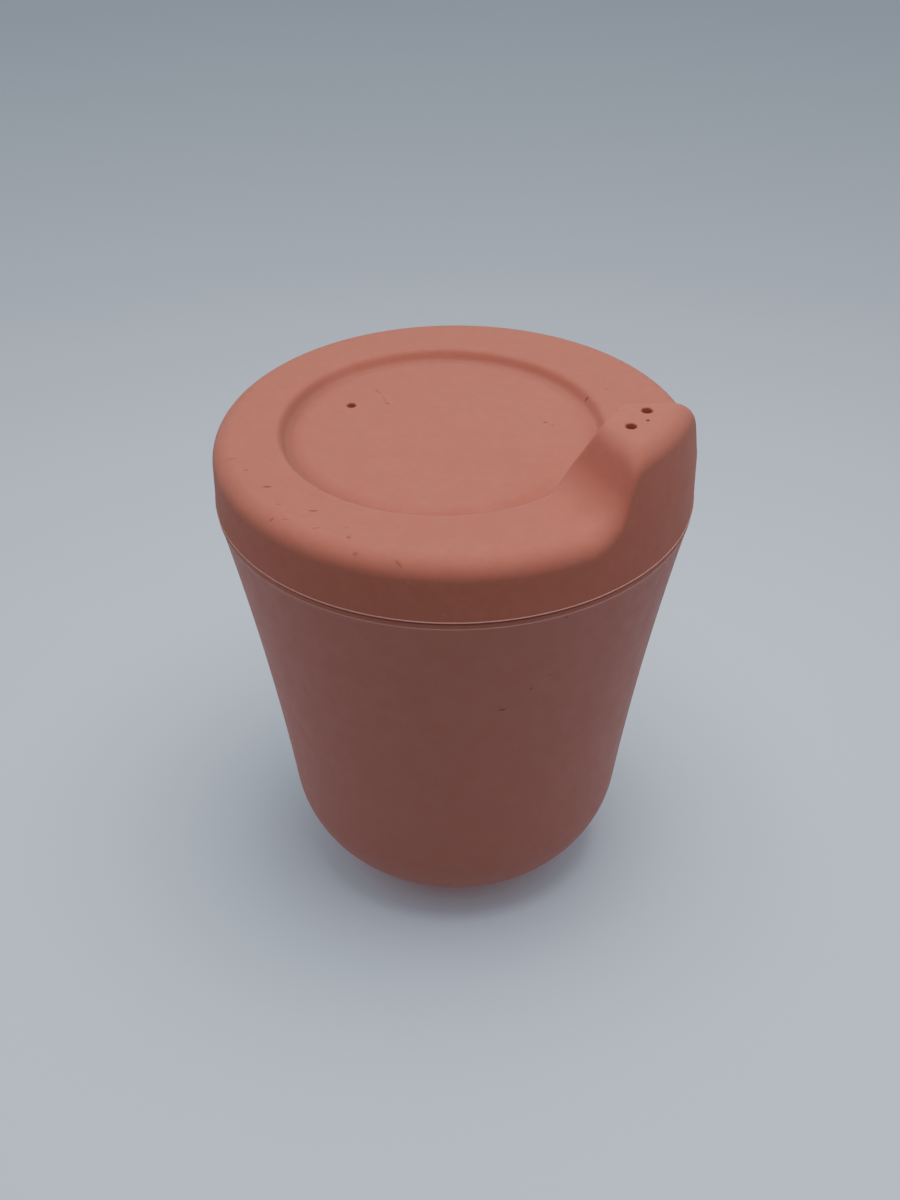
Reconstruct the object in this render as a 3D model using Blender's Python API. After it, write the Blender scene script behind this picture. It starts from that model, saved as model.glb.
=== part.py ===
"""A toddler's sippy cup: a tapered tumbler and the soft one-piece lid that closes it.

Metres, +Z up. The origin is the centre of the base and the spout is towards +X.
Run with: blender --background --python part.py
"""
import math

import bpy
import bmesh

# Whole cup
OUTER_RADIUS = 0.0400           # lid, and the cup where the two meet
RIM_HEIGHT = 0.0869             # base to the flat rim of the lid
SEAM_DEPTH = 0.0106             # flat rim down to the lid's lower edge
CLEARANCE = 0.00035             # between the lid and the cup, all round

# Cup wall: its radius is OUTER_RADIUS - WALL_TAPER * d + WALL_HOLLOW * d * d at a depth d
WALL_TAPER = 0.230
WALL_HOLLOW = 0.83              # per metre
WALL_THICKNESS = 0.0023
BASE_CORNER_RADIUS = 0.0204
LEDGE_EDGE_RADIUS = 0.0005

# Neck of the cup, which the lid covers
NECK_OUTER_RADIUS = 0.03795
NECK_INNER_RADIUS = 0.03615
NECK_RIM_RADIUS = 0.0009
GROOVE_ROOM = 0.0004            # neck rim to the roof of the lid's groove

# Lid shell
LID_THICKNESS = 0.0022
SHOULDER_RADIUS = 0.0034
SKIRT_INNER_RADIUS = NECK_OUTER_RADIUS + CLEARANCE
SKIRT_EDGE_RADIUS = 0.0003
PANEL_EDGE = 0.0272             # radius of the sunk disc in the top of the lid, at its upper edge
PANEL_SHIFT = -0.0024           # its centre stands away from the spout
PANEL_DROP = 0.0011             # flat rim down to the disc
GROOVE_DEPTH = 0.0008           # disc down to the soft groove round it
GROOVE_START = 0.0012           # from the panel's edge inwards to where the groove starts to rise
GROOVE_WIDTH = 0.0032
STEP_SLOPE = 1.6                # of the step from the flat rim into the groove
STEP_TOP_RADIUS = 0.0013
STEP_FOOT_RADIUS = 0.0013
SHIFT_END_RADIUS = 0.0335       # where the mesh rings are centred on the lid again

# Plug ring under the lid, inside the neck
BEAD_RADIUS = NECK_INNER_RADIUS - CLEARANCE
PLUG_OUTER_RADIUS = BEAD_RADIUS - 0.0005
PLUG_INNER_RADIUS = 0.0342
PLUG_DEPTH = 0.0123             # flat rim down to the lower end of the ring
BEAD_DEPTHS = (0.0055, 0.0088)
BEAD_HALF_HEIGHT = 0.0009
CAVITY_EDGE_RADIUS = 0.0012     # roof of the lid's underside into the ring

# Spout, measured along +X from the lid's axis and upwards from the flat rim
SPOUT_HEIGHT = 0.0117
SPOUT_INNER_EDGE = 0.0295       # inner edge of its level top
SPOUT_HALF_WIDTH = 0.0049       # at that edge
SPOUT_FLARE = 0.60              # growth of the half width for each unit outwards
SPOUT_LEAN = 0.048              # how far it leans back towards the axis for each unit of height
FLANK_SLOPE = 2.6
FLANK_TOP_RADIUS = 0.0042
FLANK_FOOT_RADIUS = 0.0088
BACK_SLOPE = 1.66
BACK_TOP_RADIUS = 0.0008
BACK_FOOT_RADIUS = 0.0040
SPOUT_SHELL = 0.0023            # how far its hollow stays inside the flanks
BACK_SHELL = 0.0027             # and inside the sloping back

# Openings through the lid
DRINK_HOLE_RADIUS = 0.0010
DRINK_HOLE_X = 0.0331
DRINK_HOLE_Y = 0.0028
VENT_HOLE_RADIUS = 0.00075
VENT_HOLE_X = -0.0203
HOLE_SIDES = 16

# Mesh
CUP_SIDES = 64
FINE_HALF_ANGLE = 45            # degrees either side of the spout with fine steps
FINE_STEP = 3
COARSE_STEP = 7.5

CORAL_LID = (0.62, 0.262, 0.195, 1.0)
CORAL_CUP = (0.55, 0.222, 0.168, 1.0)


def clear_scene():
    for old in list(bpy.data.objects):
        bpy.data.objects.remove(old, do_unlink=True)


def make_material(name, colour, roughness):
    material = bpy.data.materials.new(name)
    material.use_nodes = True
    shader = material.node_tree.nodes["Principled BSDF"]
    shader.inputs["Base Color"].default_value = colour
    shader.inputs["Roughness"].default_value = roughness
    shader.inputs["Metallic"].default_value = 0.0
    return material


def arc(centre, radius, start, end, steps):
    """Points (r, z) of an arc from one angle to another, in degrees, ends included."""
    points = []
    for i in range(steps + 1):
        angle = math.radians(start + (end - start) * i / steps)
        points.append((centre[0] + radius * math.cos(angle), centre[1] + radius * math.sin(angle)))
    return points


def bank(distance, height, slope, top_radius, foot_radius):
    """Height of a bank at a distance beyond its top edge, with a rounded top and foot."""
    half_angle = 0.5 * math.atan(slope)
    sine = math.sin(2.0 * half_angle)
    top_start = -top_radius * math.tan(half_angle)
    foot_end = height / slope + foot_radius * math.tan(half_angle)
    if distance <= top_start:
        return height
    if distance < top_start + top_radius * sine:
        across = distance - top_start
        return height - top_radius + math.sqrt(top_radius ** 2 - across ** 2)
    if distance < foot_end - foot_radius * sine:
        return height - slope * distance
    if distance < foot_end:
        across = foot_end - distance
        return foot_radius - math.sqrt(foot_radius ** 2 - across ** 2)
    return 0.0


def spout_rise(x, y, side_shell, back_shell):
    """Height of the spout above the lid at a point; the shells draw it inwards."""
    half_width = SPOUT_HALF_WIDTH + SPOUT_FLARE * (x - SPOUT_INNER_EDGE) - side_shell
    flank = bank(abs(y) - half_width, SPOUT_HEIGHT, FLANK_SLOPE, FLANK_TOP_RADIUS, FLANK_FOOT_RADIUS)
    behind = SPOUT_INNER_EDGE + back_shell - x
    back = bank(behind, SPOUT_HEIGHT, BACK_SLOPE, BACK_TOP_RADIUS, BACK_FOOT_RADIUS)
    return min(flank, back)


def smooth_step(value, low, high):
    part = min(max((value - low) / (high - low), 0.0), 1.0)
    return part * part * (3.0 - 2.0 * part)


def panel_fall(inwards):
    """Depth below the flat rim at a distance inwards from the panel's edge: step, groove and disc."""
    step = PANEL_DROP + GROOVE_DEPTH
    fall = step - bank(inwards, step, STEP_SLOPE, STEP_TOP_RADIUS, STEP_FOOT_RADIUS)
    return fall - GROOVE_DEPTH * smooth_step(inwards, GROOVE_START, GROOVE_START + GROOVE_WIDTH)


def lid_height(x, y, side_shell=0.0, back_shell=0.0):
    """Height of the top of the lid above its flat rim, before the shoulder falls away."""
    drop = panel_fall(PANEL_EDGE - math.hypot(x - PANEL_SHIFT, y))
    rise = spout_rise(x, y, side_shell, back_shell)
    return rise - drop * (1.0 - rise / SPOUT_HEIGHT)


def lean_in(z):
    """Factor that draws the outside of the spout in towards the axis at a height z."""
    return 1.0 - SPOUT_LEAN * max(z - RIM_HEIGHT, 0.0) / OUTER_RADIUS


def lid_angles():
    """Angles of the lid's mesh, close together at the spout."""
    angles = []
    angle = -FINE_HALF_ANGLE
    while angle < 360 - FINE_HALF_ANGLE - 1e-6:
        angles.append(math.radians(angle))
        angle += FINE_STEP if angle < FINE_HALF_ANGLE else COARSE_STEP
    return angles


def step_radii():
    """Inner and outer radius of the groove and the step round the panel."""
    inner = PANEL_EDGE - GROOVE_START - GROOVE_WIDTH
    return inner, PANEL_EDGE + STEP_TOP_RADIUS * math.tan(0.5 * math.atan(STEP_SLOPE))


def ring_point(radius, angle):
    """A point of a mesh ring, which follows the panel's centre near the middle of the lid."""
    _, step_outer = step_radii()
    back_to_axis = min(max((radius - step_outer) / (SHIFT_END_RADIUS - step_outer), 0.0), 1.0)
    x = PANEL_SHIFT * (1.0 - back_to_axis) + radius * math.cos(angle)
    return x, radius * math.sin(angle)


def top_rings():
    """Outer face of the lid from the middle outwards: (radius, fall below the lid height)."""
    inner, outer = step_radii()
    radii = [0.0080, 0.0150, 0.0195]
    radii += [inner + (outer - inner) * i / 7 for i in range(8)]
    radii += [0.0288, 0.0298, 0.0309, 0.0325, 0.0343]
    flat_end = OUTER_RADIUS - SHOULDER_RADIUS
    rings = [(radius, 0.0) for radius in radii]
    for i in range(6):
        turn = math.radians(90 * i / 5)
        rings.append((flat_end + SHOULDER_RADIUS * math.sin(turn), SHOULDER_RADIUS * (1 - math.cos(turn))))
    return rings


def under_rings():
    """Underside of the lid from the plug ring inwards: (radius, fall below the roof)."""
    roof_end = PLUG_INNER_RADIUS - CAVITY_EDGE_RADIUS
    rings = []
    for i in range(4):
        turn = math.radians(90 * (3 - i) / 3)
        rings.append((roof_end + CAVITY_EDGE_RADIUS * math.sin(turn), CAVITY_EDGE_RADIUS * (1 - math.cos(turn))))
    inner, outer = step_radii()
    radii = [0.0308, 0.0292]
    radii += [outer + (inner - outer) * i / 5 for i in range(6)]
    radii += [0.0190, 0.0145, 0.0080]
    return rings + [(radius, 0.0) for radius in radii]


def bead(depth):
    """A sealing bead on the outside of the plug ring, from its upper to its lower end."""
    upper = RIM_HEIGHT - depth + BEAD_HALF_HEIGHT
    lower = RIM_HEIGHT - depth - BEAD_HALF_HEIGHT
    return [(PLUG_OUTER_RADIUS, upper), (BEAD_RADIUS, RIM_HEIGHT - depth), (PLUG_OUTER_RADIUS, lower)]


def lid_section():
    """Closed part of the lid's section below the shoulder, down the skirt and round the plug ring."""
    seam = RIM_HEIGHT - SEAM_DEPTH
    groove_roof = RIM_HEIGHT - LID_THICKNESS
    plug_end = RIM_HEIGHT - PLUG_DEPTH
    edge = SKIRT_EDGE_RADIUS
    section = [(OUTER_RADIUS, seam + edge), (OUTER_RADIUS - edge, seam)]
    section += [(SKIRT_INNER_RADIUS + edge, seam), (SKIRT_INNER_RADIUS, seam + edge)]
    section += [(SKIRT_INNER_RADIUS, groove_roof), (PLUG_OUTER_RADIUS, groove_roof)]
    for depth in BEAD_DEPTHS:
        section += bead(depth)
    section += [(PLUG_OUTER_RADIUS, plug_end + edge), (PLUG_OUTER_RADIUS - edge, plug_end)]
    section += [(PLUG_INNER_RADIUS + edge, plug_end), (PLUG_INNER_RADIUS, plug_end + edge)]
    return section


def bridge(mesh, upper, lower):
    """Quads between two rings of vertices, facing out where the rings run anticlockwise."""
    count = len(upper)
    for i in range(count):
        following = (i + 1) % count
        mesh.faces.new((upper[i], lower[i], lower[following], upper[following]))


def cap(mesh, ring, middle, upwards):
    count = len(ring)
    for i in range(count):
        following = (i + 1) % count
        corners = (middle, ring[i], ring[following]) if upwards else (middle, ring[following], ring[i])
        mesh.faces.new(corners)


def new_object(name, mesh, material):
    data = bpy.data.meshes.new(name)
    mesh.to_mesh(data)
    mesh.free()
    data.materials.append(material)
    made = bpy.data.objects.new(name, data)
    bpy.context.scene.collection.objects.link(made)
    return made


def shade_round(made, angle):
    made.data.shade_smooth()
    made.data.set_sharp_from_angle(angle=math.radians(angle))


def make_lid(material):
    angles = lid_angles()
    roof = RIM_HEIGHT - LID_THICKNESS
    mesh = bmesh.new()

    def outer_ring(radius, fall):
        ring = []
        for angle in angles:
            x, y = ring_point(radius, angle)
            z = RIM_HEIGHT + lid_height(x, y) - fall
            ring.append(mesh.verts.new((x * lean_in(z), y * lean_in(z), z)))
        return ring

    def middle_ring(upper, z_end):
        """A ring half way down the outer wall, from the shoulder to a height."""
        ring = []
        for angle, corner in zip(angles, upper):
            z = (corner.co.z + z_end) / 2
            radius = OUTER_RADIUS * lean_in(z)
            ring.append(mesh.verts.new((radius * math.cos(angle), radius * math.sin(angle), z)))
        return ring

    def inner_ring(radius, fall):
        ring = []
        for angle in angles:
            x, y = ring_point(radius, angle)
            ring.append(mesh.verts.new((x, y, roof + lid_height(x, y, SPOUT_SHELL, BACK_SHELL) - fall)))
        return ring

    def plain_ring(radius, z):
        return [mesh.verts.new((radius * math.cos(angle), radius * math.sin(angle), z)) for angle in angles]

    section = lid_section()
    rings = [outer_ring(radius, fall) for radius, fall in top_rings()]
    rings.append(middle_ring(rings[-1], section[0][1]))
    rings += [plain_ring(radius, z) for radius, z in section]
    rings += [inner_ring(radius, fall) for radius, fall in under_rings()]
    for upper, lower in zip(rings, rings[1:]):
        bridge(mesh, upper, lower)
    cap(mesh, rings[0], mesh.verts.new((PANEL_SHIFT, 0, RIM_HEIGHT - PANEL_DROP)), True)
    cap(mesh, rings[-1], mesh.verts.new((PANEL_SHIFT, 0, roof - PANEL_DROP)), False)
    return new_object("lid", mesh, material)


def cut_round_hole(target, x, y, radius):
    mesh = bmesh.new()
    bmesh.ops.create_cone(mesh, cap_ends=True, segments=HOLE_SIDES, radius1=radius, radius2=radius, depth=0.04)
    cutter = bpy.data.objects.new("hole_cutter", bpy.data.meshes.new("hole_cutter"))
    mesh.to_mesh(cutter.data)
    mesh.free()
    bpy.context.scene.collection.objects.link(cutter)
    cutter.location = (x, y, RIM_HEIGHT + 0.004)
    cutter.hide_render = True
    cutter.display_type = "WIRE"
    cut = target.modifiers.new("hole", "BOOLEAN")
    cut.operation = "DIFFERENCE"
    cut.solver = "EXACT"
    cut.object = cutter


def wall_radius(depth):
    return OUTER_RADIUS - WALL_TAPER * depth + WALL_HOLLOW * depth * depth


def wall_lean(depth):
    """Angle of the wall from the vertical, in radians."""
    return math.atan(WALL_TAPER - 2.0 * WALL_HOLLOW * depth)


def corner_depth(ledge):
    """Depth below the ledge where the wall runs into the round corner of the base."""
    depth = ledge - BASE_CORNER_RADIUS
    for _ in range(20):
        depth = ledge - BASE_CORNER_RADIUS * (1.0 - math.sin(wall_lean(depth)))
    return depth


def cup_section():
    """The cup's section from the middle of the base, up outside, over the rim and down inside."""
    ledge = RIM_HEIGHT - SEAM_DEPTH - CLEARANCE
    rim_top = RIM_HEIGHT - LID_THICKNESS - GROOVE_ROOM
    wall_end = corner_depth(ledge)
    lean = math.degrees(wall_lean(wall_end))
    corner = (wall_radius(wall_end) - BASE_CORNER_RADIUS * math.cos(math.radians(lean)), BASE_CORNER_RADIUS)

    outside = arc(corner, BASE_CORNER_RADIUS, -90, -lean, 9)
    wall_steps = 7
    for i in range(1, wall_steps):
        depth = wall_end + (LEDGE_EDGE_RADIUS - wall_end) * i / wall_steps
        outside.append((wall_radius(depth), ledge - depth))
    edge = (OUTER_RADIUS - LEDGE_EDGE_RADIUS, ledge - LEDGE_EDGE_RADIUS)
    outside += arc(edge, LEDGE_EDGE_RADIUS, 0, 90, 2)

    rim = [(NECK_OUTER_RADIUS, ledge)]
    middle = (NECK_OUTER_RADIUS + NECK_INNER_RADIUS) / 2
    rim += arc((middle, rim_top - NECK_RIM_RADIUS), NECK_RIM_RADIUS, 0, 180, 6)

    inside = []
    depth = 0.0
    while wall_radius(depth) - WALL_THICKNESS / math.cos(wall_lean(depth)) > NECK_INNER_RADIUS:
        depth += 0.0002
    inside_steps = 6
    for i in range(inside_steps):
        d = depth + (wall_end - depth) * i / inside_steps
        inside.append((wall_radius(d) - WALL_THICKNESS / math.cos(wall_lean(d)), ledge - d))
    inside += arc(corner, BASE_CORNER_RADIUS - WALL_THICKNESS, -lean, -90, 8)
    return outside + rim + inside


def make_cup(material):
    mesh = bmesh.new()
    rings = []
    for radius, z in cup_section():
        angles = [2 * math.pi * i / CUP_SIDES for i in range(CUP_SIDES)]
        rings.append([mesh.verts.new((radius * math.cos(a), radius * math.sin(a), z)) for a in angles])
    for lower, upper in zip(rings, rings[1:]):
        bridge(mesh, upper, lower)
    cap(mesh, rings[0], mesh.verts.new((0, 0, 0)), False)
    cap(mesh, rings[-1], mesh.verts.new((0, 0, WALL_THICKNESS)), True)
    return new_object("cup", mesh, material)


def main():
    clear_scene()
    cup = make_cup(make_material("coral_cup", CORAL_CUP, 0.55))
    shade_round(cup, 35)
    lid = make_lid(make_material("coral_lid", CORAL_LID, 0.62))
    cut_round_hole(lid, DRINK_HOLE_X, DRINK_HOLE_Y, DRINK_HOLE_RADIUS)
    cut_round_hole(lid, DRINK_HOLE_X, -DRINK_HOLE_Y, DRINK_HOLE_RADIUS)
    cut_round_hole(lid, VENT_HOLE_X, 0, VENT_HOLE_RADIUS)
    shade_round(lid, 35)


main()
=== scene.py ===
import math

import bpy
import bmesh
import numpy as np
from mathutils import Euler, Matrix, Vector


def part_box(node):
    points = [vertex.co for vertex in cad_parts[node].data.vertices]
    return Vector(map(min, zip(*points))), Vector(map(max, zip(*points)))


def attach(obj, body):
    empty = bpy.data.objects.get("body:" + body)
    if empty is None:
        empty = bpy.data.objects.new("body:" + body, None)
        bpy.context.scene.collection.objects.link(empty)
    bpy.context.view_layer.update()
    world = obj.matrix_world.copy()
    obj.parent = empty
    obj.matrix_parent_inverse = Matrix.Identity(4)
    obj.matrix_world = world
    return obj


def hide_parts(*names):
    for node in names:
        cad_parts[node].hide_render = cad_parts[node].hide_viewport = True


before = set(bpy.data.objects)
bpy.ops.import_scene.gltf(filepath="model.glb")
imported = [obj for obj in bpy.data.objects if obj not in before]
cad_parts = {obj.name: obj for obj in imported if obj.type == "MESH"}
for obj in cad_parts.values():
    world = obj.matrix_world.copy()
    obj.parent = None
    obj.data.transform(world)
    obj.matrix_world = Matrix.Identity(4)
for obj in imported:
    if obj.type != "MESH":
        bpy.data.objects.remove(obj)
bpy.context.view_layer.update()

# ---------------------------------------------------------------- sizes, in metres
CUP_LOW, CUP_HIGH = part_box("cup")
LID_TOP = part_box("lid")[1][2]
OUTER_RADIUS = (CUP_HIGH[0] - CUP_LOW[0]) / 2

SPOUT_HEIGHT = 0.0117           # level top of the spout above the lid's flat rim
RIM_HEIGHT = LID_TOP - SPOUT_HEIGHT
SEAM_DEPTH = 0.0106             # flat rim down to the lid's lower edge
CLEARANCE = 0.00035             # between the lid and the cup's ledge and neck
SEAM = RIM_HEIGHT - SEAM_DEPTH
LEDGE = SEAM - CLEARANCE

# Cup; wall_radius says how the taper and the hollow shape its side
WALL_TAPER = 0.230
WALL_HOLLOW = 0.83
WALL_THICKNESS = 0.0023
BASE_CORNER_RADIUS = 0.0204
BASE_RINGS = (0.003, 0.006)     # radii of the mesh's rings on the flat of the base
BAND_HEIGHT = 0.0009            # the plain band under the lid, which ends in a fine ridge below
BAND_SETBACK = 0.00020
RIDGE_RADIUS = 0.00008
LEDGE_EDGE_RADIUS = 0.0002
NECK_OUTER_RADIUS = 0.03795
NECK_INNER_RADIUS = 0.03615
NECK_FOOT_RADIUS = 0.0004       # fillet between the ledge and the neck
NECK_RIM_RADIUS = 0.0009
NECK_ROOM = 0.0004              # room above the neck's rim, inside the lid
CUP_SEGMENTS = 240

# Lid shell
LID_THICKNESS = 0.0022
SHOULDER_RADIUS = 0.0034
SKIRT_INNER_RADIUS = NECK_OUTER_RADIUS + CLEARANCE
SKIRT_FOOT = 0.0012             # height of the skirt's last plain ring above the seam
SKIRT_LIP = 0.00010             # how far the moulding line along the skirt's edge stands proud
SKIRT_LIP_RADIUS = 0.00011
PANEL_EDGE = 0.0272             # radius of the sunk panel at its upper edge
PANEL_SHIFT = -0.0024           # its middle stands off the axis, away from the spout
PANEL_DROP = 0.0011
GROOVE_DEPTH = 0.0008           # depth of the groove below the panel
GROOVE_START = 0.0012           # where it starts to rise to the panel, inwards from the edge
GROOVE_WIDTH = 0.0032           # width of that rise
STEP_SLOPE = 1.6
STEP_TOP_RADIUS = 0.0013
STEP_FOOT_RADIUS = 0.0013
SHIFT_END_RADIUS = 0.0335       # from here outwards the lid's rings are centred on the axis
NECK_GROOVE_FILLET = 0.0005     # corners of the groove that takes the cup's neck
BEAD_RADIUS = NECK_INNER_RADIUS - CLEARANCE
BEAD_RISE = 0.0005
PLUG_OUTER_RADIUS = BEAD_RADIUS - BEAD_RISE
PLUG_INNER_RADIUS = 0.0342
PLUG_DEPTH = 0.0123
BEAD_DEPTHS = (0.0055, 0.0088)
BEAD_HALF_HEIGHT = 0.0009
CAVITY_EDGE_RADIUS = 0.0012     # between the plug ring and the lid's underside
COARSE_RINGS = (0.003, 0.015)   # the first and the last of the widely spaced rings on the panel
UNDER_RINGS = (0.013, 0.009, 0.005)     # and all of them on its underside
FINE_START = 0.0165             # from here outwards the lid's rings stand closer together

# Spout, along +X from the lid's axis
SPOUT_INNER_EDGE = 0.0295
SPOUT_HALF_WIDTH = 0.0049
SPOUT_FLARE = 0.60              # how much its half-width grows for each unit outwards
SPOUT_LEAN = 0.048              # how far it leans back towards the axis for each unit of height
FLANK_SLOPE = 2.6
FLANK_TOP_RADIUS = 0.0042
FLANK_FOOT_RADIUS = 0.0088
BACK_SLOPE = 1.66
BACK_TOP_RADIUS = 0.0008
BACK_FOOT_RADIUS = 0.0040
CREASE_SOFTNESS = 0.0010        # where the flanks meet the sloping back
SPOUT_SHELL = 0.0023            # how far the hollow stands in from the flanks
BACK_SHELL = 0.0027             # and from the sloping back

# Holes, the small sunk mark beside the drinking holes, and the cutters that make them
DRINK_HOLE_RADIUS = 0.0009
DRINK_HOLE_X = 0.0331
DRINK_HOLE_Y = 0.0028
VENT_HOLE_RADIUS = 0.0008
VENT_HOLE_X = -0.0203
LIP_RADIUS = 0.00024            # rounding of each hole's lip
HOLE_SIDES = 48
PIT_X = 0.0346
PIT_RADIUS = 0.00030
PIT_DEPTH = 0.0007
PIT_FLARE_RADIUS = 1.3 * PIT_RADIUS     # its cutter opens out to this above the surface
PIT_FLARE_RISE = 0.00005
PIT_SIDES = 20
CUT_DEPTH = 0.02                # how far the cutters of the holes reach down
CUT_RISE = 0.001                # how far every cutter stands above the surface
CUT_FLARE = 0.00002             # how far a hole's cutter opens out up there

SHARP_ANGLE = math.radians(40)  # edges sharper than this aren't shaded round


# ---------------------------------------------------------------- camera
CAMERA_AZIMUTH = math.radians(-59.5)


def make_camera():
    """The main view: from the front left of the spout, looking down at the cup."""
    distance = 0.2725             # from the cup's axis, level
    height = 0.2453
    azimuth = CAMERA_AZIMUTH
    pitch = math.radians(35.29)
    roll = math.radians(-0.227)
    data = bpy.data.cameras.new("camera")
    data.lens = 57.06
    data.sensor_width = 36.0
    data.clip_start = 0.01
    camera = bpy.data.objects.new("camera", data)
    bpy.context.scene.collection.objects.link(camera)
    camera.location = (distance * math.cos(azimuth), distance * math.sin(azimuth), height)
    level = Euler((math.pi / 2 - pitch, 0.0, azimuth + math.pi / 2)).to_matrix()
    camera.rotation_euler = (level @ Matrix.Rotation(roll, 3, "Z")).to_euler()
    data.shift_x = -0.0042
    bpy.context.scene.camera = camera


# ---------------------------------------------------------------- shape of the lid
def bank(distance, height, slope, top_radius, foot_radius):
    """Height of a bank at a distance beyond its top edge, with a rounded top and foot."""
    half_angle = 0.5 * math.atan(slope)
    sine = math.sin(2.0 * half_angle)
    top_start = -top_radius * math.tan(half_angle)
    foot_end = height / slope + foot_radius * math.tan(half_angle)
    top_arc = height - top_radius + np.sqrt(np.maximum(top_radius ** 2 - (distance - top_start) ** 2, 0))
    foot_arc = foot_radius - np.sqrt(np.maximum(foot_radius ** 2 - (foot_end - distance) ** 2, 0))
    places = [distance <= top_start, distance < top_start + top_radius * sine,
              distance < foot_end - foot_radius * sine, distance < foot_end]
    return np.select(places, [height + 0 * distance, top_arc, height - slope * distance, foot_arc], 0.0)


def soft_minimum(a, b, softness):
    """The lower of two heights, with the crease between them rounded off."""
    near = np.maximum(softness - np.abs(a - b), 0.0) / softness
    return np.minimum(a, b) - near * near * softness / 4


def spout_rise(x, y, side_shell, back_shell):
    """Height of the spout, or of its hollow, above the flat rim."""
    half_width = SPOUT_HALF_WIDTH + SPOUT_FLARE * (x - SPOUT_INNER_EDGE) - side_shell
    flank = bank(np.abs(y) - half_width, SPOUT_HEIGHT, FLANK_SLOPE, FLANK_TOP_RADIUS, FLANK_FOOT_RADIUS)
    behind = SPOUT_INNER_EDGE + back_shell - x
    back = bank(behind, SPOUT_HEIGHT, BACK_SLOPE, BACK_TOP_RADIUS, BACK_FOOT_RADIUS)
    level = np.maximum(flank, back) / SPOUT_HEIGHT
    # the crease is softest near the top, and sharp at the foot and at the level top itself
    softness = CREASE_SOFTNESS * np.clip(np.minimum(level, 4.0 * (1.0 - level)), 0.001, 1.0)
    return np.clip(soft_minimum(flank, back, softness), 0.0, SPOUT_HEIGHT)


def smooth_step(value, low, high):
    """Rises smoothly from 0 to 1 between the two ends."""
    part = np.clip((value - low) / (high - low), 0.0, 1.0)
    return part * part * (3.0 - 2.0 * part)


def panel_fall(inwards):
    """Depth below the flat rim at a distance inwards from the panel's edge: step, groove and disc."""
    step = PANEL_DROP + GROOVE_DEPTH
    fall = step - bank(inwards, step, STEP_SLOPE, STEP_TOP_RADIUS, STEP_FOOT_RADIUS)
    return fall - GROOVE_DEPTH * smooth_step(inwards, GROOVE_START, GROOVE_START + GROOVE_WIDTH)


def lid_height(x, y, side_shell=0.0, back_shell=0.0):
    """Height of the lid's surface above the flat rim, with the panel faded out under the spout."""
    drop = panel_fall(PANEL_EDGE - np.hypot(x - PANEL_SHIFT, y))
    rise = spout_rise(x, y, side_shell, back_shell)
    return rise - drop * (1.0 - rise / SPOUT_HEIGHT)


def lean_in(z):
    """Factor that draws the outside of the spout in towards the axis at a height z."""
    return 1.0 - SPOUT_LEAN * np.maximum(z - RIM_HEIGHT, 0.0) / OUTER_RADIUS


def lid_angles():
    """Angles round the lid in radians, closest together at the spout."""
    fine_end = 36.0
    fine_step = 0.5
    coarse_count = 216
    fine = np.arange(-fine_end, fine_end, fine_step)
    coarse = np.linspace(fine_end, 360.0 - fine_end, coarse_count, endpoint=False)
    return np.radians(np.concatenate([fine, coarse]))


def step_radii():
    """Inner radius of the groove round the panel, and outer radius of its step."""
    inner = PANEL_EDGE - GROOVE_START - GROOVE_WIDTH
    return inner, PANEL_EDGE + STEP_TOP_RADIUS * math.tan(0.5 * math.atan(STEP_SLOPE))


def ring_points(radius, angles):
    """Points (x, y) of a ring of the lid: centred on the panel inside, on the axis outside."""
    _, step_outer = step_radii()
    back_to_axis = min(max((radius - step_outer) / (SHIFT_END_RADIUS - step_outer), 0.0), 1.0)
    x = PANEL_SHIFT * (1.0 - back_to_axis) + radius * np.cos(angles)
    return x, radius * np.sin(angles)


def top_rings():
    """Outer face of the lid from the middle outwards: (radius, fall below lid_height)."""
    step_start, step_end = step_radii()
    flat_end = OUTER_RADIUS - SHOULDER_RADIUS
    radii = list(np.linspace(*COARSE_RINGS, 5))
    radii += list(np.linspace(FINE_START, step_start, 12))
    radii += list(np.linspace(step_start, step_end, 35)[1:])
    radii += list(np.linspace(step_end, flat_end, 32)[1:-1])
    rings = [(radius, 0.0) for radius in radii]
    for turn in np.radians(np.linspace(0, 90, 19)):
        fall = SHOULDER_RADIUS * (1 - math.cos(turn))
        rings.append((flat_end + SHOULDER_RADIUS * math.sin(turn), fall))
    return rings


def under_rings():
    """Underside of the lid from the plug ring inwards: (radius, fall below lid_height)."""
    roof_end = PLUG_INNER_RADIUS - CAVITY_EDGE_RADIUS
    step_start, step_end = step_radii()
    rings = []
    for turn in np.radians(np.linspace(90, 0, 9)):
        fall = CAVITY_EDGE_RADIUS * (1 - math.cos(turn))
        rings.append((roof_end + CAVITY_EDGE_RADIUS * math.sin(turn), fall))
    radii = list(np.linspace(roof_end, step_end, 16)[1:])
    radii += list(np.linspace(step_end, step_start, 19)[1:])
    radii += list(np.linspace(step_start, FINE_START, 10)[1:])
    return rings + [(radius, 0.0) for radius in (*radii, *UNDER_RINGS)]


def arc(centre, radius, start, end, steps):
    """Points (r, z) of an arc from one angle to another, in degrees, ends included."""
    turns = np.radians(np.linspace(start, end, steps + 1))
    return [(centre[0] + radius * math.cos(t), centre[1] + radius * math.sin(t)) for t in turns]


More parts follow.
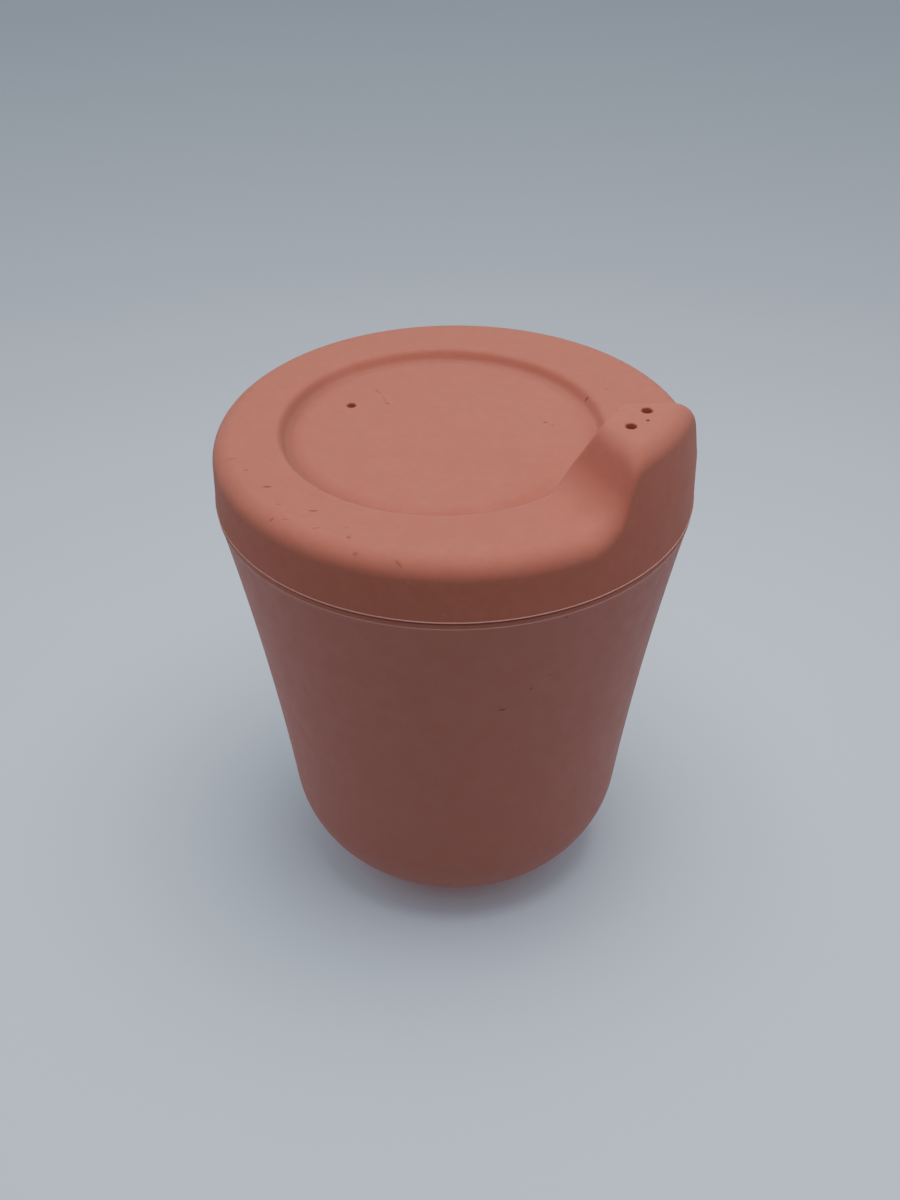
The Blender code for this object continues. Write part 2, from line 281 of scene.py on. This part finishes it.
def lid_section():
    """The lid's section below the shoulder: down the skirt, over the neck and round the plug ring."""
    roof = RIM_HEIGHT - LID_THICKNESS
    plug_end = RIM_HEIGHT - PLUG_DEPTH
    lip = SKIRT_LIP_RADIUS
    fillet = NECK_GROOVE_FILLET
    section = [(OUTER_RADIUS, SEAM + SKIRT_FOOT), (OUTER_RADIUS, SEAM + 2 * lip)]
    section += arc((OUTER_RADIUS + SKIRT_LIP - lip, SEAM + lip), lip, 60, -90, 8)
    section += arc((SKIRT_INNER_RADIUS + lip, SEAM + lip), lip, -90, -180, 4)
    section += arc((SKIRT_INNER_RADIUS - fillet, roof - fillet), fillet, 0, 90, 5)
    section += arc((PLUG_OUTER_RADIUS + fillet, roof - fillet), fillet, 90, 180, 5)
    for depth in BEAD_DEPTHS:
        for part in np.linspace(-1, 1, 9):
            out = (BEAD_RADIUS - PLUG_OUTER_RADIUS) * 0.5 * (1 + math.cos(math.pi * part))
            section.append((PLUG_OUTER_RADIUS + out, RIM_HEIGHT - depth - BEAD_HALF_HEIGHT * part))
    edge = (PLUG_OUTER_RADIUS - PLUG_INNER_RADIUS) / 2
    section += arc((PLUG_INNER_RADIUS + edge, plug_end + edge), edge, 0, -180, 12)
    return section


# ---------------------------------------------------------------- meshes
def mesh_from_rings(name, rings, first, last):
    """A closed shell through rings of points, capped at a point at each end, facing out."""
    count = len(rings[0])
    points = np.concatenate(rings + [np.array([first]), np.array([last])])
    faces = []
    for k in range(len(rings) - 1):
        upper = k * count
        lower = upper + count
        for i in range(count):
            j = (i + 1) % count
            faces.append((upper + i, lower + i, lower + j, upper + j))
    head = len(rings) * count
    start = (len(rings) - 1) * count
    for i in range(count):
        j = (i + 1) % count
        faces.append((head, i, j))
        faces.append((head + 1, start + j, start + i))
    data = bpy.data.meshes.new(name)
    data.from_pydata(points.tolist(), [], faces)
    data.update()
    made = bpy.data.objects.new(name, data)
    bpy.context.scene.collection.objects.link(made)
    return made


def shade_round(piece):
    piece.data.shade_smooth()
    piece.data.set_sharp_from_angle(angle=SHARP_ANGLE)


def circle(radius, z, angles):
    """Points of a ring about the axis; its radius and height may change with the angle."""
    return np.stack([radius * np.cos(angles), radius * np.sin(angles), z + 0 * angles], axis=-1)


def make_lid():
    """The lid's shell: over the top, down the skirt, back along the underside, then the holes."""
    angles = lid_angles()

    def outer_skin(radius, fall):
        x, y = ring_points(radius, angles)
        z = RIM_HEIGHT + lid_height(x, y) - fall
        return np.stack([x * lean_in(z), y * lean_in(z), z], axis=-1)

    def inner_skin(radius, fall):
        x, y = ring_points(radius, angles)
        z = RIM_HEIGHT - LID_THICKNESS + lid_height(x, y, SPOUT_SHELL, BACK_SHELL) - fall
        return np.stack([x, y, z], axis=-1)

    roof = RIM_HEIGHT - LID_THICKNESS
    rings = [outer_skin(radius, fall) for radius, fall in top_rings()]
    shoulder = rings[-1]
    section = lid_section()
    wall_steps = 10
    for i in range(1, wall_steps):
        z = shoulder[:, 2] + (section[0][1] - shoulder[:, 2]) * i / wall_steps
        rings.append(circle(OUTER_RADIUS * lean_in(z), z, angles))
    rings += [circle(radius, z, angles) for radius, z in section]
    rings += [inner_skin(radius, fall) for radius, fall in under_rings()]
    lid = mesh_from_rings("lid_moulding", rings, (PANEL_SHIFT, 0, RIM_HEIGHT - PANEL_DROP),
                          (PANEL_SHIFT, 0, roof - PANEL_DROP))
    cut_holes(lid)
    shade_round(lid)
    return lid


def hole_outline(radius, top):
    """Section of a hole's cutter: straight, with a rounded lip that flares out at the surface."""
    section = [(0.0, top - CUT_DEPTH), (radius, top - CUT_DEPTH)]
    for turn in np.radians(np.linspace(0, 80, 7)):
        out = LIP_RADIUS * (1 - math.cos(turn))
        section.append((radius + out, top - LIP_RADIUS * (1 - math.sin(turn))))
    widest = section[-1][0] + CUT_FLARE
    return section + [(widest, top + CUT_RISE), (0.0, top + CUT_RISE)]


def pit_outline(surface):
    """Section of the small sunk mark where the moulding was fed."""
    section = [(0.0, surface - PIT_DEPTH)]
    for turn in np.radians(np.linspace(-90, 0, 7))[1:]:
        section.append((PIT_RADIUS * math.cos(turn), surface + PIT_DEPTH * math.sin(turn)))
    section.append((PIT_FLARE_RADIUS, surface + PIT_FLARE_RISE))
    return section + [(PIT_FLARE_RADIUS, surface + CUT_RISE), (0.0, surface + CUT_RISE)]


def turned(mesh, section, x, y, sides):
    """Adds a closed solid of revolution about an upright axis at x, y."""
    turns = [2 * math.pi * i / sides for i in range(sides)]
    rings = []
    for radius, z in section:
        points = [(x, y, z)]      # on the axis, a ring is one point
        if radius > 0.0:
            points = [(x + radius * math.cos(t), y + radius * math.sin(t), z) for t in turns]
        rings.append([mesh.verts.new(point) for point in points])
    for lower, upper in zip(rings, rings[1:]):
        for i in range(sides):
            j = (i + 1) % sides
            corners = [(lower, i), (lower, j), (upper, j), (upper, i)]
            corners = [ring[k % len(ring)] for ring, k in corners]
            mesh.faces.new(list(dict.fromkeys(corners)))


def cut_out(target, solids):
    """Cuts closed solids of revolution out of a piece; each is (section, x, y, sides)."""
    mesh = bmesh.new()
    for section, x, y, sides in solids:
        turned(mesh, section, x, y, sides)
    data = bpy.data.meshes.new("tool")
    mesh.to_mesh(data)
    mesh.free()
    tool = bpy.data.objects.new("tool", data)
    bpy.context.scene.collection.objects.link(tool)
    cut = target.modifiers.new("cut", "BOOLEAN")
    cut.operation = "DIFFERENCE"
    cut.solver = "EXACT"
    cut.object = tool
    bpy.context.view_layer.objects.active = target
    bpy.ops.object.modifier_apply(modifier=cut.name)
    bpy.data.objects.remove(tool, do_unlink=True)


def cut_holes(lid):
    """Cuts the two drinking holes, the air hole and the sunk moulding mark."""
    spout_top = RIM_HEIGHT + SPOUT_HEIGHT
    panel = RIM_HEIGHT - PANEL_DROP
    drinks = [(DRINK_HOLE_X, side * DRINK_HOLE_Y) for side in (-1, 1)]
    holes = [(hole_outline(DRINK_HOLE_RADIUS, spout_top), x, y, HOLE_SIDES) for x, y in drinks]
    holes.append((hole_outline(VENT_HOLE_RADIUS, panel), VENT_HOLE_X, 0.0, HOLE_SIDES))
    holes.append((pit_outline(spout_top), PIT_X, 0.0, PIT_SIDES))
    cut_out(lid, holes)


def wall_radius(depth):
    """Outer radius of the cup's wall at a depth below the ledge."""
    return OUTER_RADIUS - WALL_TAPER * depth + WALL_HOLLOW * depth * depth


def wall_lean(depth):
    """Angle between the wall and the upright there, in radians."""
    return math.atan(WALL_TAPER - 2.0 * WALL_HOLLOW * depth)


def cup_section():
    """The cup's section from the middle of the base, up outside, over the rim and down inside."""
    rim_top = RIM_HEIGHT - LID_THICKNESS - NECK_ROOM
    wall_end = LEDGE - BASE_CORNER_RADIUS
    for _ in range(20):           # settles where the wall runs smoothly into the corner
        wall_end = LEDGE - BASE_CORNER_RADIUS * (1.0 - math.sin(wall_lean(wall_end)))
    lean = math.degrees(wall_lean(wall_end))
    centre_radius = wall_radius(wall_end) - BASE_CORNER_RADIUS * math.cos(math.radians(lean))
    corner = (centre_radius, BASE_CORNER_RADIUS)

    outside = [(radius, 0.0) for radius in BASE_RINGS]
    outside += arc(corner, BASE_CORNER_RADIUS, -90, -lean, 48)
    for depth in np.linspace(wall_end, BAND_HEIGHT + 2 * RIDGE_RADIUS, 60)[1:]:
        outside.append((wall_radius(depth), LEDGE - depth))
    outside += arc((OUTER_RADIUS - BAND_SETBACK, LEDGE - BAND_HEIGHT), RIDGE_RADIUS, -60, 80, 8)
    outside += [(OUTER_RADIUS - BAND_SETBACK, LEDGE - BAND_HEIGHT + 2 * RIDGE_RADIUS)]
    edge = LEDGE_EDGE_RADIUS
    outside += arc((OUTER_RADIUS - BAND_SETBACK - edge, LEDGE - edge), edge, 0, 90, 4)

    foot = NECK_FOOT_RADIUS
    rim = [(NECK_OUTER_RADIUS + foot, LEDGE)]
    rim += arc((NECK_OUTER_RADIUS + foot, LEDGE + foot), foot, -120, -180, 3)
    middle = (NECK_OUTER_RADIUS + NECK_INNER_RADIUS) / 2
    rim += arc((middle, rim_top - NECK_RIM_RADIUS), NECK_RIM_RADIUS, 0, 180, 16)

    def inner_radius(depth):
        return wall_radius(depth) - WALL_THICKNESS / math.cos(wall_lean(depth))

    start = 0.0                   # the depth at which the inner wall leaves the neck
    search_step = 0.0002
    while inner_radius(start) > NECK_INNER_RADIUS:
        start += search_step
    inside = [(inner_radius(depth), LEDGE - depth) for depth in np.linspace(start, wall_end, 40)[:-1]]
    inside += arc(corner, BASE_CORNER_RADIUS - WALL_THICKNESS, -lean, -90, 40)
    inside += [(radius, WALL_THICKNESS) for radius in reversed(BASE_RINGS)]
    return outside + rim + inside


def make_cup():
    angles = np.linspace(0, 2 * math.pi, CUP_SEGMENTS, endpoint=False)
    rings = [circle(radius, z, angles) for radius, z in reversed(cup_section())]
    cup = mesh_from_rings("cup_moulding", rings, (0, 0, WALL_THICKNESS), (0, 0, 0))
    shade_round(cup)
    return cup


# ---------------------------------------------------------------- materials
LID_COLOUR = (0.555, 0.161, 0.109)
CUP_COLOUR = (0.530, 0.156, 0.113)
MARK_COLOUR = (0.190, 0.036, 0.022, 1.0)
# painted shade: the darker tone laid in the groove round the lid's panel
GROOVE_SHADE_COLOUR = (0.235, 0.093, 0.070, 1.0)
DUST_COLOUR = (0.66, 0.46, 0.40, 1.0)
# painted highlight: the pale colour of thin lines along edges that catch the light
PAINTED_HIGHLIGHT_COLOUR = (0.86, 0.50, 0.42, 1.0)
FLOOR_COLOURS = ((0.79, 0.855, 0.985, 1.0), (0.81, 0.875, 1.0, 1.0))
GLOW_COLOUR = (0.56, 0.78, 1.0, 1.0)

MARK_REACH = 0.012              # how far a mark reaches along its surface's normal, at most
MARK_FADE = (0.35, 1.05)        # where a mark starts to fade and where it ends, in half-sizes
GROOVE_SHADE_BAND = (-0.0032, -0.0010, 0.0005)  # where the painted shade in the groove starts, is darkest and ends, past the panel's edge
                                        # the panel's edge
GROOVE_SHADE_HEIGHT = 0.0015            # height above the flat rim over which it fades away
GROOVE_SHADE_SIDE = (-0.76, -0.65, 0.0)         # direction from the axis in which the painted shade is darkest
GROOVE_SHADE_GROWTH = (0.014, 0.025)    # distances that way between which it darkens
GROOVE_SHADE_AMOUNTS = (0.26, 0.62)     # how dark it is at those two distances
GLOW_STRENGTH = 0.14            # the floor's faint glow, which keeps the cup's shadow light
GLOW_RISE = (0.014, 0.044)      # distances from the axis over which it comes in
GLOW_FADE = (0.05, 0.28)        # and dies away

# Small marks on the top of the lid: x, y, length, width (mm), direction (degrees), strength
LID_MARKS = [
    (-16.5, -30.2, 2.0, 0.52, 30, 0.90), (-6.3, -32.4, 1.9, 0.46, 28, 0.85),
    (-8.8, -36.4, 1.5, 0.44, 10, 0.35), (-3.2, -36.2, 1.6, 0.42, 50, 0.40),
    (2.5, -35.9, 1.0, 0.85, 0, 0.50), (-11.0, -36.9, 1.1, 0.60, 40, 0.45),
    (5.2, -38.3, 1.2, 0.70, 20, 0.40), (12.0, -37.0, 1.9, 0.40, -12, 0.45),
    (-22.3, -27.7, 1.0, 0.55, 30, 0.50), (-26.3, -26.0, 2.4, 0.42, 35, 0.35),
    (11.5, -22.8, 0.8, 0.55, 0, 0.60), (-18.9, 6.3, 3.2, 0.44, -32, 0.40),
    (-16.6, 4.6, 3.6, 0.38, -40, 0.28), (-15.3, 3.5, 1.3, 0.60, 25, 0.60),
    (11.0, 11.3, 1.1, 0.65, 10, 0.65), (12.6, 10.9, 0.9, 0.60, 0, 0.35),
    (13.6, 21.4, 0.9, 0.60, 20, 0.85), (15.5, 24.9, 0.7, 0.45, 60, 0.50),
    (-12.0, -33.5, 1.2, 0.36, 22, 0.40), (0.8, -33.8, 1.2, 0.34, 40, 0.35),
]

# Small marks on the cup's wall: direction (degrees), height, length, width (mm), strength
CUP_MARKS = [
    (-47.4, 55.6, 1.5, 0.62, 0.85), (-40.2, 59.5, 0.9, 0.65, 0.50),
    (-35.7, 61.8, 0.9, 0.65, 0.30), (-34.0, 74.4, 1.2, 0.60, 0.50),
]


def add_node(tree, kind, inputs, **settings):
    """A shader node with its settings, and each input given a value or linked to a socket."""
    made = tree.nodes.new(kind)
    for name, value in settings.items():
        setattr(made, name, value)
    for key, value in inputs.items():
        if isinstance(value, bpy.types.NodeSocket):
            tree.links.new(value, made.inputs[key])
        else:
            made.inputs[key].default_value = value
    return made


def noise(tree, place, size, detail):
    """Soft noise from 0 to 1, whose lumps are about the given size in metres."""
    inputs = {"Vector": place, "Scale": 1.0 / size, "Detail": detail, "Roughness": 0.55}
    return add_node(tree, "ShaderNodeTexNoise", inputs).outputs["Fac"]


def calculate(tree, operation, a, b):
    return add_node(tree, "ShaderNodeMath", {0: a, 1: b}, operation=operation).outputs[0]


def vector_node(tree, operation, *values):
    return add_node(tree, "ShaderNodeVectorMath", dict(enumerate(values)), operation=operation)


def length_of(tree, vector):
    return vector_node(tree, "LENGTH", vector).outputs["Value"]


def height_of(tree, place):
    return add_node(tree, "ShaderNodeSeparateXYZ", {"Vector": place}).outputs["Z"]


def spread(tree, value, low, high, to_low, to_high):
    """Maps a value from one range to another, smoothly and without leaving it."""
    inputs = {"Value": value, "From Min": low, "From Max": high, "To Min": to_low, "To Max": to_high}
    mapped = add_node(tree, "ShaderNodeMapRange", inputs, interpolation_type="SMOOTHSTEP")
    return mapped.outputs["Result"]


def blend_colours(tree, factor, a, b):
    return add_node(tree, "ShaderNodeMix", {0: factor, 6: a, 7: b}, data_type="RGBA").outputs[2]


def shade(colour, factor):
    return (*[min(part * factor, 1.0) for part in colour], 1.0)


def mottle(tree, place, colour, size, detail, dark, light):
    """A colour that drifts slowly between a darker and a lighter shade of itself."""
    drift = noise(tree, place, size, detail)
    return blend_colours(tree, drift, shade(colour, dark), shade(colour, light))


def flecks(tree, place, size, strength):
    """Fine irregular flecks, as an amount from 0 to the given strength."""
    return spread(tree, noise(tree, place, size, 3.0), 0.35, 0.65, 0.0, strength)


def specks(tree, place, spacing, radius, share, strength):
    """Sparse round specks: one in a share of the cells of a grid of the given spacing."""
    cells = add_node(tree, "ShaderNodeTexVoronoi", {"Vector": place, "Scale": 1.0 / spacing})
    near = spread(tree, cells.outputs["Distance"], 0.5 * radius / spacing, radius / spacing, 1.0, 0.0)
    chance = add_node(tree, "ShaderNodeSeparateColor", {"Color": cells.outputs["Color"]}).outputs["Red"]
    chosen = spread(tree, chance, 1.0 - share, 1.02 - share, 0.0, 1.0)
    return calculate(tree, "MULTIPLY", calculate(tree, "MULTIPLY", near, chosen), strength)


def lid_ovals():
    """The marks on the lid, each as a place, a turn, three half-sizes and a strength."""
    ovals = []
    for x, y, length, width, turn, strength in LID_MARKS:
        place = (x / 1000, y / 1000, RIM_HEIGHT)
        ovals.append((place, math.radians(turn), (length / 2000, width / 2000, MARK_REACH), strength))
    return ovals


def cup_ovals():
    """The marks on the cup's wall, in the same form."""
    ovals = []
    for direction, z, length, width, strength in CUP_MARKS:
        turn = math.radians(direction)
        radius = wall_radius(LEDGE - z / 1000)
        place = (radius * math.cos(turn), radius * math.sin(turn), z / 1000)
        half_sizes = (length / 2000, MARK_REACH, width / 2000)
        ovals.append((place, turn + math.pi / 2, half_sizes, strength))
    return ovals


def marks(tree, place, ovals):
    """Short soft dashes and spots, each an oval at a place of its own."""
    total = 0.0
    for centre, turn, half_sizes, strength in ovals:
        inputs = {"Vector": place, "Location": centre, "Rotation": (0, 0, turn), "Scale": half_sizes}
        oval = add_node(tree, "ShaderNodeMapping", inputs, vector_type="TEXTURE")
        spot = spread(tree, length_of(tree, oval.outputs[0]), *MARK_FADE, strength, 0.0)
        total = calculate(tree, "MAXIMUM", total, spot)
    return total


def painted_groove_shade(tree, place, height):
    """Painted shade: darker in the groove round the panel, most of all on one side."""
    start, darkest, end = [PANEL_EDGE + offset for offset in GROOVE_SHADE_BAND]
    centred = vector_node(tree, "SUBTRACT", place, (PANEL_SHIFT, 0.0, 0.0)).outputs[0]
    level = vector_node(tree, "MULTIPLY", centred, (1.0, 1.0, 0.0)).outputs[0]
    radius = length_of(tree, level)
    inner = spread(tree, radius, start, darkest, 0.0, 1.0)
    outer = spread(tree, radius, darkest, end, 1.0, 0.0)
    low = spread(tree, height, RIM_HEIGHT, RIM_HEIGHT + GROOVE_SHADE_HEIGHT, 1.0, 0.0)
    along = vector_node(tree, "DOT_PRODUCT", place, GROOVE_SHADE_SIDE).outputs["Value"]
    amount = spread(tree, along, *GROOVE_SHADE_GROWTH, *GROOVE_SHADE_AMOUNTS)
    ring = calculate(tree, "MULTIPLY", inner, outer)
    return calculate(tree, "MULTIPLY", calculate(tree, "MULTIPLY", ring, low), amount)


def painted_highlight_line(tree, height, middle, half_width, strength):
    """A thin level pale line round the piece: a painted highlight along an edge that catches the light.
    """
    away = calculate(tree, "ABSOLUTE", calculate(tree, "SUBTRACT", height, middle), 0.0)
    line = spread(tree, away, 0.5 * half_width, half_width, 1.0, 0.0)
    return calculate(tree, "MULTIPLY", line, strength)


def layered(tree, colour, layers):
    """Lays tints over a colour one after another; each layer is (amount, tint)."""
    for amount, tint in layers:
        colour = blend_colours(tree, amount, colour, tint)
    return colour


def uneven(tree, place, size, low, high):
    """A value that drifts between two ends, for the roughness."""
    return spread(tree, noise(tree, place, size, 3.0), 0.3, 0.7, low, high)


def moulded_bump(tree, place, grain_size, grain_height, wave_height):
    """The fine matt grain of the mould over the slow unevenness of a thick moulding."""
    wave_size = 0.012
    inputs = {"Strength": 1.0, "Distance": wave_height, "Height": noise(tree, place, wave_size, 1.0)}
    wave = add_node(tree, "ShaderNodeBump", inputs).outputs["Normal"]
    inputs = {"Strength": 1.0, "Distance": grain_height, "Height": noise(tree, place, grain_size, 2.0),
              "Normal": wave}
    return add_node(tree, "ShaderNodeBump", inputs).outputs["Normal"]


def start_material(name, specular, sheen, sheen_tint=None):
    """A new material with its shader and the place on the piece, in metres."""
    material = bpy.data.materials.new(name)
    material.use_nodes = True
    tree = material.node_tree
    shader = tree.nodes["Principled BSDF"]
    shader.inputs["Specular IOR Level"].default_value = specular
    shader.inputs["Sheen Weight"].default_value = sheen
    shader.inputs["Sheen Roughness"].default_value = 0.5
    if sheen_tint:
        shader.inputs["Sheen Tint"].default_value = sheen_tint
    place = add_node(tree, "ShaderNodeTexCoord", {}).outputs["Object"]
    return material, tree, shader, place


def connect(tree, shader, colour, roughness, normal):
    tree.links.new(colour, shader.inputs["Base Color"])
    tree.links.new(roughness, shader.inputs["Roughness"])
    tree.links.new(normal, shader.inputs["Normal"])


def silicone():
    """The lid: soft matt silicone, slightly mottled, with painted shade in its groove, a painted
    highlight along its lower lip, and a few marks.
    """
    material, tree, shader, place = start_material(
        "lid_silicone", specular=0.5, sheen=0.13, sheen_tint=(1.0, 0.80, 0.74, 1.0))
    height = height_of(tree, place)
    seam_line = SEAM + SKIRT_LIP_RADIUS
    colour = mottle(tree, place, LID_COLOUR, size=0.011, detail=3.0, dark=0.95, light=1.06)
    colour = layered(tree, colour, [
        (flecks(tree, place, size=0.0016, strength=0.5), shade(LID_COLOUR, 0.93)),
        # painted shade in the groove round the panel, darker on one side
        (painted_groove_shade(tree, place, height), GROOVE_SHADE_COLOUR),
        (marks(tree, place, lid_ovals()), MARK_COLOUR),
        (specks(tree, place, spacing=0.0080, radius=0.00034, share=0.20, strength=0.6), MARK_COLOUR),
        (specks(tree, place, spacing=0.0048, radius=0.00014, share=0.25, strength=0.55), DUST_COLOUR),
        # painted highlight along the top of the skirt's lip
        (painted_highlight_line(tree, height, seam_line, half_width=0.00022, strength=0.6), PAINTED_HIGHLIGHT_COLOUR),
    ])
    roughness = uneven(tree, place, size=0.004, low=0.78, high=0.92)
    normal = moulded_bump(tree, place, grain_size=0.00022, grain_height=0.00002, wave_height=0.00006)
    connect(tree, shader, colour, roughness, normal)
    return material


def moulded_plastic():
    """The cup: a firmer moulding with a satin grain, a touch more gloss and a few specks."""
    material, tree, shader, place = start_material(
        "cup_plastic", specular=0.5, sheen=0.06, sheen_tint=(1.0, 0.84, 0.80, 1.0))
    height = height_of(tree, place)
    colour = mottle(tree, place, CUP_COLOUR, size=0.018, detail=2.0, dark=0.98, light=1.03)
    colour = layered(tree, colour, [
        (flecks(tree, place, size=0.0012, strength=0.4), shade(CUP_COLOUR, 0.94)),
        (marks(tree, place, cup_ovals()), MARK_COLOUR),
        (specks(tree, place, spacing=0.0090, radius=0.00038, share=0.16, strength=0.65), MARK_COLOUR),
        (specks(tree, place, spacing=0.0060, radius=0.00016, share=0.20, strength=0.45), DUST_COLOUR),
        # painted highlight along the fine ridge under the band
        (painted_highlight_line(tree, height, LEDGE - BAND_HEIGHT, half_width=0.00014, strength=0.5), PAINTED_HIGHLIGHT_COLOUR),
    ])
    roughness = uneven(tree, place, size=0.003, low=0.56, high=0.64)
    normal = moulded_bump(tree, place, grain_size=0.00020, grain_height=0.000016, wave_height=0.00002)
    connect(tree, shader, colour, roughness, normal)
    return material


def floor_paper():
    """Matt pale paper with a faint glow round the cup."""
    material, tree, shader, place = start_material("floor_paper", specular=0.3, sheen=0.0)
    shader.inputs["Roughness"].default_value = 0.8
    cloud = noise(tree, place, size=0.05, detail=3.0)
    colour = blend_colours(tree, cloud, *FLOOR_COLOURS)
    tree.links.new(colour, shader.inputs["Base Color"])
    away = length_of(tree, place)
    rise = spread(tree, away, *GLOW_RISE, 0.0, GLOW_STRENGTH)
    fade = spread(tree, away, *GLOW_FADE, 1.0, 0.0)
    glow = calculate(tree, "MULTIPLY", rise, fade)
    tree.links.new(glow, shader.inputs["Emission Strength"])
    shader.inputs["Emission Color"].default_value = GLOW_COLOUR
    return material


# ---------------------------------------------------------------- stage
SKY_COLOUR = (0.87, 1.0, 1.06, 1.0)
SKY_STRENGTH = 0.275

# Round lamps: name, place (towards the camera, to its right, height), size, power, colour
LIGHTS = [
    ("overhead", (0.05, 0.03, 0.42), 0.25, 0.62, (1.0, 0.96, 1.0)),
    ("top_back", (-0.04, 0.02, 0.30), 0.18, 0.165, (1.05, 0.98, 0.86)),
    ("right_fill", (0.0, 0.35, 0.30), 0.40, 0.14, (0.95, 1.0, 1.10)),
    ("left_fill", (-0.08, -0.37, 0.22), 0.40, 0.18, (0.95, 1.0, 1.10)),
]
LIT_POINT = (0, 0, 0.06)        # where the lamps point


def make_stage():
    reach = 4.0
    gap = 0.0001                  # keeps the floor clear of the cup's base
    corners = [(-reach, -reach, 0), (reach, -reach, 0), (reach, reach, 0), (-reach, reach, 0)]
    data = bpy.data.meshes.new("floor")
    data.from_pydata(corners, [], [(0, 1, 2, 3)])
    floor = bpy.data.objects.new("floor", data)
    floor.location.z = -gap
    bpy.context.scene.collection.objects.link(floor)
    floor.data.materials.append(floor_paper())
    floor.visible_diffuse = False


def add_area_light(name, place, target, size, power, colour):
    data = bpy.data.lights.new(name, "AREA")
    data.shape = "DISK"
    data.size = size
    data.energy = power
    data.color = colour
    light = bpy.data.objects.new(name, data)
    bpy.context.scene.collection.objects.link(light)
    light.location = place
    light.rotation_mode = "QUATERNION"
    light.rotation_quaternion = (Vector(target) - Vector(place)).to_track_quat("-Z", "Y")


def around(toward, side, z):
    """A place so far towards the camera from the object's axis, to the right, and at a height z."""
    cosine = math.cos(CAMERA_AZIMUTH)
    sine = math.sin(CAMERA_AZIMUTH)
    return toward * cosine - side * sine, toward * sine + side * cosine, z


def light_stage():
    """An even pale sky, two lights overhead and a fill on each side."""
    world = bpy.data.worlds.new("studio")
    bpy.context.scene.world = world
    world.use_nodes = True
    sky = world.node_tree.nodes["Background"]
    sky.inputs["Color"].default_value = SKY_COLOUR
    sky.inputs["Strength"].default_value = SKY_STRENGTH
    for name, place, size, power, colour in LIGHTS:
        add_area_light(name, around(*place), LIT_POINT, size, power, colour)


make_camera()
make_stage()
light_stage()

cup = make_cup()
cup.data.materials.append(moulded_plastic())
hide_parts("cup")
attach(cup, "cup")

lid = make_lid()
lid.data.materials.append(silicone())
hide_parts("lid")
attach(lid, "lid")
